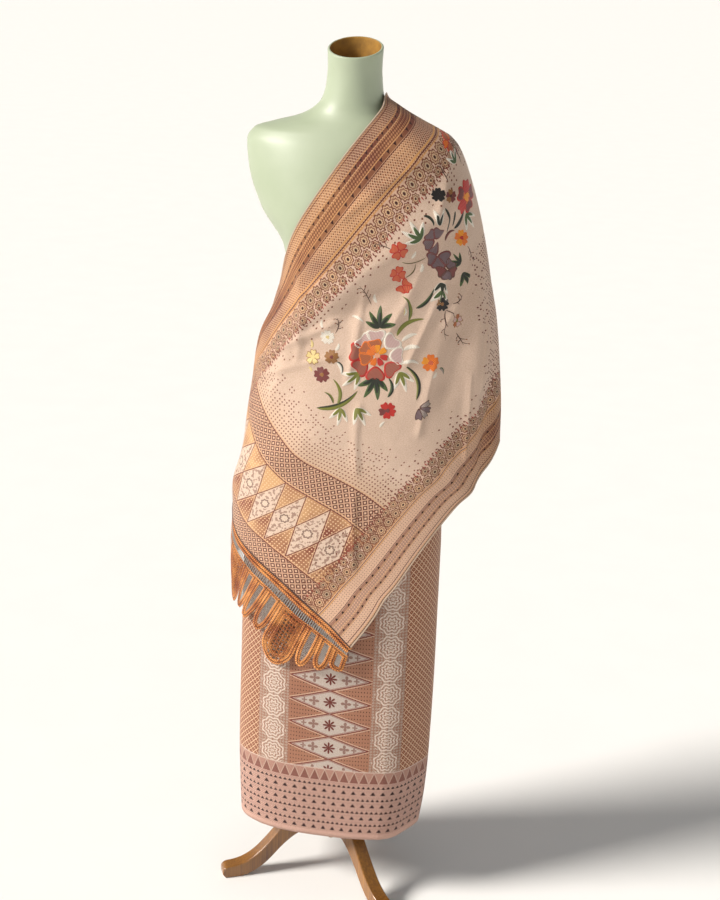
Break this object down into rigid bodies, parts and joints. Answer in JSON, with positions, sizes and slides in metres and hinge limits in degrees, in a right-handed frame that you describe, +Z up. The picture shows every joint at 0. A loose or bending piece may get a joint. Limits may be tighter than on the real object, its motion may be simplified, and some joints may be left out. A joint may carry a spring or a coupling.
{
  "type": "songket skirt and shawl set on a dress form",
  "caption": "Wrapped songket skirt with an embroidered, lace-ended shawl over one shoulder, worn by a limbless hollow dress form on a turned wooden stand.",
  "frame": {"origin": "middle of the footprint, on the floor under the stand's feet", "axes": "+Z up along the post; -Y is the front of the form; +X is the wearer's left, the side of the covered shoulder"},
  "size_m": [0.5056, 0.4026, 1.6542],
  "materials": {
    "songket": "woven with a soft sheen",
    "shawl_cloth": "satin weave",
    "lacework": "matt cotton tape",
    "moulded_shell": "satin paint",
    "board": "plain board",
    "dark_wood": "varnished"
  },
  "bodies": {
    "root": {"form_shell": "moulded_shell", "form_base": "board", "pole": "dark_wood", "hub": "dark_wood", "leg_front_right": "dark_wood", "leg_back_right": "dark_wood", "leg_left": "dark_wood", "skirt": "songket", "shawl_front": "shawl_cloth", "shawl_back": "shawl_cloth", "lace_front": "lacework", "lace_back": "lacework"}
  },
  "joints": []
}
